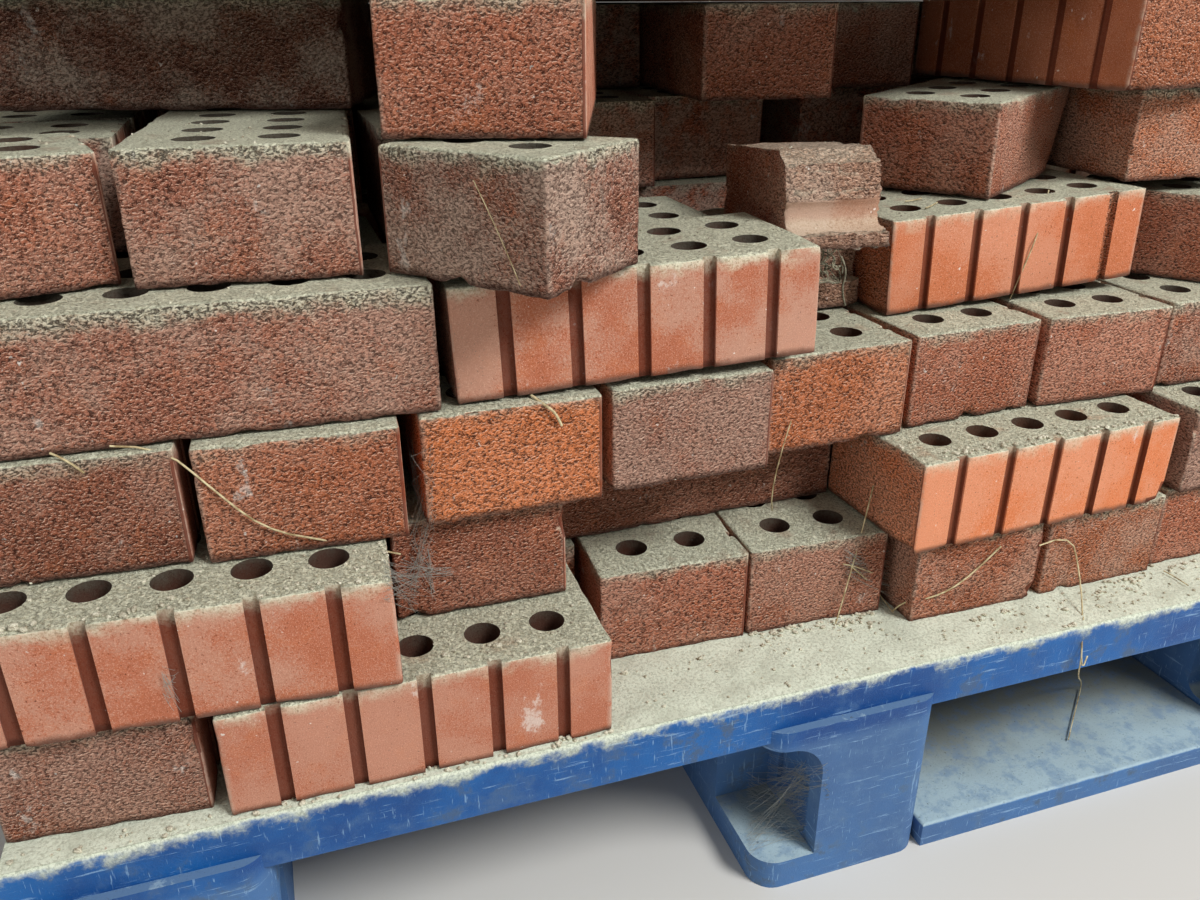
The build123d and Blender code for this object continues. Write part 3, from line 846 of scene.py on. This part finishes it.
@dataclass
class Pallet:
    """The moulded plastic pallet, whose CAD nodes stay and get their finish."""

    deck: WornPlastic = WornPlastic("deck_plastic", 0.124, 0.150)
    base: WornPlastic = WornPlastic("base_plastic", 0.030, 0.150)

    def build(self) -> None:
        """Dresses the pallet's deck and its base boards."""
        for name, finish in (("pallet_deck", self.deck), ("pallet_base", self.base)):
            node = frame["nodes"][name]
            node.data.materials.clear()
            node.data.materials.append(finish.material())
            log.info("%s dressed", name)


class Surroundings:
    """The built surfaces, which loose bits are laid on."""

    def __init__(self, pieces: list[Piece]) -> None:
        """Keeps a search tree of each piece."""
        graph = bpy.context.evaluated_depsgraph_get()
        self.trees = [BVHTree.FromObject(piece, graph) for piece in pieces]

    def hit(self, start: Vector, heading: Vector) -> tuple[Vector, Vector] | None:
        """Gives the place and the normal where a ray first lands, if it does."""
        found = [tree.ray_cast(start, heading) for tree in self.trees]
        found = [item for item in found if item[0] is not None]
        if not found:
            return None
        place, normal, _, _ = min(found, key=lambda item: item[3])
        return place, normal if normal.dot(heading) < 0 else -normal

    def below(self, x: float, y: float, top: float) -> tuple[Vector, Vector] | None:
        """Gives the place and the normal of what lies straight below a point."""
        return self.hit(Vector((x, y, top)), Vector((0, 0, -1)))


@dataclass(frozen=True)
class Strand:
    """A stalk or thread along places of the view, in a picture of 1200 by 900."""

    places: tuple[tuple[float, float], ...]
    thickness: float


@dataclass
class Strands:
    """Strands of one kind, as one piece."""

    name: str
    material: bpy.types.Material
    lift: float = 1.2 * MM
    jump: float = 45.0 * MM

    def path(self, strand: Strand, studio: "Studio", ground: Surroundings) -> list[Vector]:
        """Lays a strand on what lies behind its places, straight on over the gaps.

        Args:
            strand: The strand.
            studio: The studio, for its camera.
            ground: What the strand lies on.

        Returns:
            The points of its middle line.
        """
        eye = Vector(studio.eye)
        rays = [studio.gaze(*place) for place in strand.places]
        hits = [ground.hit(eye, ray) for ray in rays]
        reach = [(hit[0] - eye).length if hit else math.inf for hit in hits]
        nearest = min(reach)
        points = []
        for i, (ray, hit) in enumerate(zip(rays, hits)):
            around = min(reach[max(0, i - 1):i + 2])
            if hit and reach[i] < around + self.jump and reach[i] < nearest + 8 * self.jump:
                points.append(hit[0] + hit[1] * self.lift - ray * self.lift)
            else:
                points.append(eye + ray * around)
        return points

    def build(self, lines: list[tuple[list[Vector], float]]) -> Piece:
        """Makes round strands along middle lines.

        Args:
            lines: The points and the thickness of each.

        Returns:
            The piece.
        """
        curve = bpy.data.curves.new(self.name, "CURVE")
        curve.dimensions = "3D"
        curve.bevel_depth = MM / 2
        curve.bevel_resolution = 1
        curve.resolution_u = 3
        for points, thickness in lines:
            spline = curve.splines.new("NURBS")
            spline.points.add(len(points) - 1)
            spline.order_u = 3
            spline.use_endpoint_u = True
            for knot, point in zip(spline.points, points):
                knot.co = (*point, 1)
                knot.radius = thickness / MM
        holder = add_piece(curve, f"{self.name}_curve")
        graph = bpy.context.evaluated_depsgraph_get()
        mesh = bpy.data.meshes.new_from_object(holder.evaluated_get(graph))
        bpy.data.objects.remove(holder)
        bpy.data.curves.remove(curve)
        return finish_piece(mesh, self.name, self.material)


def finish_piece(mesh: bpy.types.Mesh, name: str, material: bpy.types.Material) -> Piece:
    """Makes a dressed piece of a mesh that rides on the load."""
    mesh.name = name
    mesh.materials.clear()
    mesh.materials.append(material)
    piece = add_piece(mesh, name)
    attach(piece, "root")
    log.info("%s: %d faces", name, len(mesh.polygons))
    return piece


@dataclass
class Straw:
    """Dry stalks and threads caught on the front of the load."""

    stalks: tuple[Strand, ...] = (
        Strand(((110, 445), (160, 447), (210, 486), (265, 530), (330, 540), (400, 553)), 1.1 * MM),
        Strand(((790, 420), (768, 490), (772, 512)), 0.9 * MM),
        Strand(((875, 485), (855, 556), (835, 625)), 1.0 * MM),
        Strand(((893, 612), (905, 600), (930, 598), (965, 580), (1000, 545)), 1.3 * MM),
        Strand(((850, 565), (868, 580), (880, 597), (893, 614)), 0.8 * MM),
        Strand(((1040, 545), (1070, 530), (1078, 570), (1083, 618), (1080, 680), (1086, 655)), 1.1 * MM),
        Strand(((1083, 618), (1081, 655), (1077, 678), (1082, 682), (1078, 700), (1071, 727),
                (1068, 741)), 1.0 * MM),
        Strand(((1050, 190), (1040, 225), (1025, 262), (1010, 300)), 1.0 * MM),
        Strand(((50, 452), (66, 460), (85, 472)), 1.2 * MM),
        Strand(((475, 180), (500, 230), (522, 285)), 0.5 * MM),
        Strand(((905, 203), (915, 202), (921, 200)), 0.9 * MM),
        Strand(((925, 210), (931, 208), (937, 204)), 0.9 * MM),
        Strand(((531, 397), (545, 405), (556, 412), (561, 425)), 1.6 * MM),
        Strand(((1163, 572), (1175, 578), (1188, 587)), 0.8 * MM),
        Strand(((842, 563), (858, 566), (872, 572)), 0.7 * MM),
    )

    def build(self, studio: "Studio", ground: Surroundings) -> None:
        """Lays the stalks."""
        kind = Strands("straw", DryStraw().material())
        kind.build([(kind.path(stalk, studio, ground), stalk.thickness) for stalk in self.stalks])


@dataclass(frozen=True)
class Gap:
    """A gap that a cobweb spans, by one end low and high on each side, in picture places."""

    left: tuple[float, float, float]
    right: tuple[float, float, float]
    threads: int


@dataclass
class Cobwebs:
    """Dusty threads across the joints between the bricks and under the deck."""

    gaps: tuple[Gap, ...] = (
        Gap((412, 428, 600), (433, 436, 600), 60),
        Gap((443, 378, 392), (457, 380, 398), 14),
        Gap((385, 560, 600), (418, 565, 612), 36),
        Gap((400, 556, 580), (452, 566, 574), 10),
        Gap((845, 545, 575), (890, 548, 600), 26),
        Gap((748, 770, 862), (806, 760, 850), 90),
        Gap((770, 752, 800), (826, 760, 800), 40),
        Gap((165, 660, 700), (176, 668, 730), 16),
    )
    seed: int = 5
    colour: tuple = srgb(168, 168, 158)

    def build(self, studio: "Studio", ground: Surroundings) -> None:
        """Strings the threads."""
        graph = Graph("cobweb")
        tint = graph.noise(graph.object_place(), 300, 2)
        colour = graph.mix(tint, self.colour, srgb(140, 142, 136))
        kind = Strands("cobwebs", graph.finish(colour, 0.9, graph.bump(tint, 0.0001, 0.3)))
        chance = random.Random(self.seed)
        lines = []
        for gap in self.gaps:
            for _ in range(gap.threads):
                left, right = [(u + chance.uniform(-3, 3), chance.uniform(low, high))
                               for u, low, high in (gap.left, gap.right)]
                sag = chance.uniform(0, 6)
                middle = ((left[0] + right[0]) / 2, (left[1] + right[1]) / 2 + sag)
                strand = Strand((left, middle, right), chance.uniform(0.10, 0.22) * MM)
                lines.append((kind.path(strand, studio, ground), strand.thickness))
        kind.build(lines)


@dataclass
class Dust:
    """The drift of dust on the deck in front of the bricks, and the grit on it and above."""

    material: bpy.types.Material
    litter: bpy.types.Material
    half_width: float = 0.492
    front: float = -0.5925
    back: float = -0.500
    deck: float = 0.160
    pitch: float = 3.0 * MM
    depth: float = 2.6 * MM
    reach: float = 0.49
    rim: tuple[float, float] = (0.494, -0.5935)
    on_ledge: float = 0.30
    above_all: float = 0.62
    foot_crumbs: int = 700
    heaps: tuple = ((0.235, -0.573, 34, 0.020, 3.2), (0.118, -0.562, 14, 0.010, 5.5),
                    (0.170, -0.590, 5, 0.004, 6.0), (-0.300, -0.568, 30, 0.030, 3.4),
                    (-0.235, -0.575, 18, 0.014, 4.4))
    seed: int = 9

    def height(self, x: float, y: float) -> float:
        """Gives how deep the drift lies at a place on the deck."""
        spot = Vector((x, y, 0))
        rolling = 0.55 + 0.6 * noise.noise(spot * 18) + 0.35 * noise.noise(spot * 60)
        grainy = 0.16 * noise.noise(spot * 320) + 0.10 * noise.noise(spot * 700)
        edge = min(1.0, max(0.0, (y - self.front) / (9 * MM)))
        return self.depth * max(0.03, rolling + grainy) * edge

    def drift(self) -> Piece:
        """Lays the drift as one sheet that thins out to nothing at the deck's edge."""
        columns = round(2 * self.half_width / self.pitch)
        rows = round((self.back - self.front) / self.pitch)
        sheet = bmesh.new()
        bmesh.ops.create_grid(sheet, x_segments=columns, y_segments=rows, size=0.5)
        middle = (self.front + self.back) / 2
        stretch = Matrix.Diagonal((2 * self.half_width, self.back - self.front, 1, 1))
        place = Matrix.Translation((0, middle, self.deck))
        bmesh.ops.transform(sheet, matrix=place @ stretch, verts=sheet.verts)
        for vertex in sheet.verts:
            vertex.co.z += self.height(vertex.co.x, vertex.co.y)
        for face in sheet.faces:
            face.smooth = True
        mesh = bpy.data.meshes.new("dust_drift")
        sheet.to_mesh(mesh)
        sheet.free()
        return finish_piece(mesh, "dust_drift", self.material)

    def crumb(self, grit: Solid, place: Vector, size: float, chance: random.Random) -> None:
        """Adds one uneven crumb that rests on a place."""
        made = bmesh.ops.create_icosphere(grit, subdivisions=1, radius=size / 2)["verts"]
        squash = Matrix.Diagonal((1, chance.uniform(0.6, 1.0), chance.uniform(0.45, 0.8), 1))
        turn = Matrix.Rotation(chance.uniform(0, math.tau), 4, "Z")
        for vertex in made:
            vertex.co *= chance.uniform(0.75, 1.15)
        rest = Matrix.Translation(place + Vector((0, 0, size * 0.18)))
        bmesh.ops.transform(grit, matrix=rest @ turn @ squash, verts=made)

    def sown(self, chance: random.Random, count: int, depths: tuple[float, float],
             sizes: tuple[float, float], top: float) -> list[tuple[float, float, float, float]]:
        """Gives the places, sizes and drop heights of crumbs strewn over a strip."""
        return [(chance.uniform(-self.reach, self.reach), chance.uniform(*depths),
                 chance.uniform(*sizes), top) for _ in range(count)]

    def grit(self, ground: Surroundings) -> None:
        """Scatters crumbs on the deck's ledge, in a few heaps, and over the dusty tops."""
        chance = random.Random(self.seed)
        grit = bmesh.new()
        low, high = self.on_ledge, self.above_all
        spots = self.sown(chance, 520, (-0.590, -0.505), (0.9, 3.2), low)
        for x, y, count, spread, largest in self.heaps:
            spots += [(chance.gauss(x, spread), chance.gauss(y, spread * 0.35),
                       chance.uniform(1, largest), low) for _ in range(count)]
        spots += self.sown(chance, 900, (-0.56, -0.25), (0.7, 2.2), high)
        for _ in range(self.foot_crumbs):
            x = chance.uniform(-self.reach, self.reach)
            foot = ground.hit(Vector((x, self.front, self.deck + 6 * MM)), Vector((0, 1, 0)))
            if foot:
                y = foot[0].y - abs(chance.gauss(0, 8 * MM))
                spots.append((x, y, chance.uniform(1.0, 5.0), low))
        for x, y, size, top in spots:
            found = ground.below(x, y, top)
            if found and found[1].z > 0.8 and self.rim[1] < y and abs(x) < self.rim[0]:
                self.crumb(grit, found[0], size * MM, chance)
        mesh = bpy.data.meshes.new("grit")
        grit.to_mesh(mesh)
        grit.free()
        finish_piece(mesh, "grit", self.litter)


@dataclass
class Tuft:
    """The tangle of roots, fluff and mortar bits in the broken recess."""

    low: tuple[float, float, float] = (-0.012, -0.452, 0.3795)
    high: tuple[float, float, float] = (0.048, -0.434, 0.411)
    hanging: tuple = ((0.046, -0.452, 0.398), (0.050, -0.456, 0.388), (0.046, -0.455, 0.376),
                      (0.051, -0.455, 0.364))
    fibres: int = 90
    seed: int = 3

    def build(self) -> None:
        """Curls the fibres up inside the recess."""
        chance = random.Random(self.seed)
        lines = []
        for _ in range(self.fibres):
            start = Vector([chance.uniform(low, high) for low, high in zip(self.low, self.high)])
            heading = Vector([chance.gauss(0, 1) for _ in range(3)]).normalized()
            points = [start]
            for _ in range(7):
                heading = (heading + Vector([chance.gauss(0, 0.55) for _ in range(3)])).normalized()
                step = points[-1] + heading * chance.uniform(3, 6) * MM
                points.append(Vector([min(max(step[i], self.low[i]), self.high[i]) for i in range(3)]))
            lines.append((points, chance.uniform(0.4, 1.3) * MM))
        lines.append(([Vector(place) for place in self.hanging], 1.4 * MM))
        dirt = LooseDust(pale=srgb(170, 166, 142), shade=srgb(70, 64, 50), speck=srgb(40, 34, 28))
        Strands("root_tangle", dirt.material("plant_litter")).build(lines)


@dataclass(frozen=True)
class Lamp:
    """A soft round lamp: its name, where it hangs, what it looks at, its width and its power."""

    name: str
    place: tuple[float, float, float]
    aim: tuple[float, float, float]
    width: float
    power: float

    def hang(self) -> None:
        """Hangs the lamp."""
        data = bpy.data.lights.new(self.name, "AREA")
        data.shape = "DISK"
        data.size = self.width
        data.energy = self.power
        lamp = add_piece(data, self.name)
        turn = (Vector(self.aim) - Vector(self.place)).to_track_quat("-Z", "Y").to_matrix().to_4x4()
        lamp.matrix_world = Matrix.Translation(self.place) @ turn


@dataclass
class Studio:
    """The camera at the viewer's place, the pale floor and the soft lights. Angles in degrees."""

    eye: tuple[float, float, float] = (-0.3185, -1.0292, 0.556)
    turn_right: float = 18.34
    look_down: float = 24.49
    roll: float = -0.27
    lens: float = 29.54
    floor_size: float = 14.0
    floor_colour: tuple = srgb(214, 212, 206)
    room_colour: tuple = (1.0, 0.98, 0.94, 1)
    room_light: float = 0.28
    lamps: tuple[Lamp, ...] = (
        Lamp("key", (1.5, -2.5, 2.7), (0, -0.4, 0.35), 1.3, 120),
        Lamp("fill", (-2.6, -1.6, 1.4), (0, -0.3, 0.3), 2.0, 14),
        Lamp("back", (1.8, 2.6, 2.4), (0, 0, 0.3), 2.0, 50),
    )

    def turned(self) -> Matrix:
        """Gives how the camera is turned."""
        heading = Matrix.Rotation(math.radians(-self.turn_right), 4, "Z")
        pitch = Matrix.Rotation(math.radians(90 - self.look_down), 4, "X")
        tilt = Matrix.Rotation(math.radians(self.roll), 4, "Z")
        return heading @ pitch @ tilt

    def gaze(self, across: float, down: float) -> Vector:
        """Gives the direction from the camera through a place of a 1200 by 900 picture."""
        focal = self.lens / 36 * 1200
        local = Vector(((across - 600) / focal, (450 - down) / focal, -1))
        return (self.turned().to_3x3() @ local).normalized()

    def camera(self) -> None:
        """Places the camera."""
        data = bpy.data.cameras.new("viewer")
        data.lens = self.lens
        camera = add_piece(data, "viewer")
        camera.matrix_world = Matrix.Translation(self.eye) @ self.turned()
        data.clip_start = 0.01
        bpy.context.scene.camera = camera

    def floor(self) -> None:
        """Lays the plain floor."""
        plane = bmesh.new()
        bmesh.ops.create_grid(plane, x_segments=1, y_segments=1, size=self.floor_size / 2)
        mesh = bpy.data.meshes.new("floor")
        plane.to_mesh(mesh)
        plane.free()
        graph = Graph("plain_floor")
        graph.shader.inputs["Base Color"].default_value = self.floor_colour
        graph.shader.inputs["Roughness"].default_value = 0.9
        mesh.materials.append(graph.material)
        add_piece(mesh, "floor")

    def build(self) -> None:
        """Sets up the whole studio."""
        scene = bpy.context.scene
        scene.view_settings.view_transform = "Standard"
        self.camera()
        self.floor()
        for lamp in self.lamps:
            lamp.hang()
        world = bpy.data.worlds.new("pale_room")
        world.use_nodes = True
        background = world.node_tree.nodes["Background"].inputs
        background["Color"].default_value = self.room_colour
        background["Strength"].default_value = self.room_light
        scene.world = world
        log.info("studio ready")


def main() -> None:
    """Builds everything in order."""
    logging.basicConfig(level=logging.INFO, format="%(name)s: %(message)s")
    studio = Studio()
    studio.build()
    Pallet().build()
    clay = FiredClay().material()
    pieces = [frame["nodes"][name] for name in ("pallet_deck", "pallet_base")]
    for level in range(1, 7):
        pieces.append(Course(f"course_{level}_front", level, True, clay).build())
        pieces.append(Course(f"course_{level}_inner", level, False, clay).build())
    pieces.append(Course("course_7_top", 7, False, clay).build())
    litter = LooseDust(pale=srgb(226, 222, 200), shade=srgb(150, 140, 116), speck=srgb(78, 66, 50))
    dust = Dust(LooseDust().material(), litter.material("mortar_grit"))
    ground = Surroundings([*pieces, dust.drift()])
    dust.grit(ground)
    Straw().build(studio, ground)
    Cobwebs().build(studio, ground)
    Tuft().build()
    core = frame["nodes"]["stack_core"]
    core.data.materials.clear()
    core.data.materials.append(clay)


if __name__ == "__main__":
    main()
